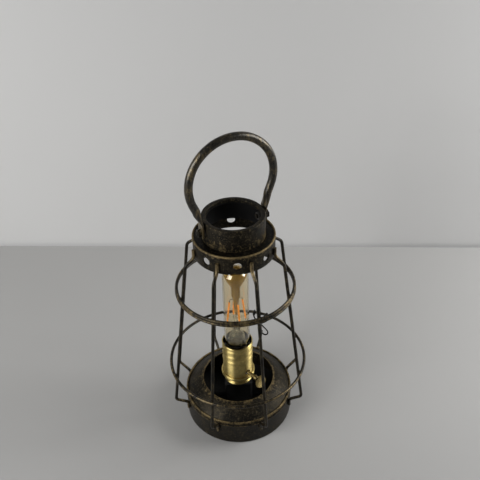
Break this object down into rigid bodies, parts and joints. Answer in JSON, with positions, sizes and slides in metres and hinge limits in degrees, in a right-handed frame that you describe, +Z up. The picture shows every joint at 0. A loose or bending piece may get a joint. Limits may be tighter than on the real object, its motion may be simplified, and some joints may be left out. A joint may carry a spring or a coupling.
{
  "type": "hanging lantern",
  "caption": "Hanging table lantern: round base, wire cage with rings, pierced collar, short chimney, swinging bail and a keyed brass lamp holder with a tubular filament bulb.",
  "frame": {"origin": "centre of the base on the surface that the lantern stands on", "axes": "+Z up through the lamp holder and the chimney, -Y to the front"},
  "size_m": [0.1637, 0.1636, 0.3773],
  "materials": {
    "aged_iron": "black-bronze paint over iron, rubbed through to dull gold on edges and high spots",
    "black_paint": "flat black paint",
    "brass": "satin, lightly lacquered",
    "steel": "dull, dark",
    "tie_wire": "annealed dark iron wire",
    "amber_glass": "clear amber tint",
    "clear_glass": "clear",
    "filament": "orange phosphor coat",
    "black_glass": "glossy black",
    "solder": "dull solder",
    "porcelain": "white glaze",
    "fibre": "black pressed fibre",
    "rubber": "matt black"
  },
  "bodies": {
    "lantern": {"base_drum": "aged_iron", "base_plate": "black_paint", "base_shoulder": "aged_iron", "bracket_rivets": "steel", "cage_rib_1": "aged_iron", "cage_rib_2": "aged_iron", "cage_rib_3": "aged_iron", "cage_rib_4": "aged_iron", "cage_rib_5": "aged_iron", "cage_rib_6": "aged_iron", "cage_rib_7": "aged_iron", "cage_rib_8": "aged_iron", "centre_contact": "brass", "chimney_lip": "aged_iron", "chimney_tube": "aged_iron", "collar_band": "aged_iron", "collar_ledge": "aged_iron", "collar_rim": "aged_iron", "cord_grommet": "rubber", "drum_rim": "aged_iron", "foot_pads": "rubber", "holder_bracket": "black_paint", "holder_washer": "steel", "lower_ring": "aged_iron", "nipple_nuts": "steel", "pivot_bolt_left": "aged_iron", "pivot_bolt_right": "aged_iron", "pivot_nuts": "steel", "pivot_washers": "steel", "ring_tie": "tie_wire", "screw_shell": "brass", "socket_cap": "brass", "socket_core": "porcelain", "socket_liner": "fibre", "socket_shell": "brass", "terminal_screws": "steel", "threaded_nipple": "steel", "upper_ring_bottom": "aged_iron", "upper_ring_top": "aged_iron"},
    "bail": {"bail_handle": "aged_iron"},
    "key": {"key_stem": "brass", "key_paddle": "brass"},
    "bulb": {"bulb_tip": "solder", "bulb_insulator": "black_glass", "bulb_screw": "brass", "bulb_glass": "amber_glass", "bulb_stem": "clear_glass", "bulb_top_mount": "amber_glass", "filaments": "filament", "lower_leads": "steel", "upper_leads": "steel"}
  },
  "joints": [
    {"name": "bail_swing", "type": "hinge", "parent": "lantern", "child": "bail", "pos_m": [0, 0, 0.2745], "axis": [0.8988, 0.4384, 0], "range_deg": [-100, 100]},
    {"name": "key_turn", "type": "hinge", "parent": "lantern", "child": "key", "pos_m": [0.01673, -0.01858, 0.0667], "axis": [0.6691, -0.7431, 0], "continuous": true},
    {"name": "bulb_lift", "type": "slide", "parent": "lantern", "child": "bulb", "axis": [0, 0, 1], "range_m": [0, 0.13]}
  ]
}
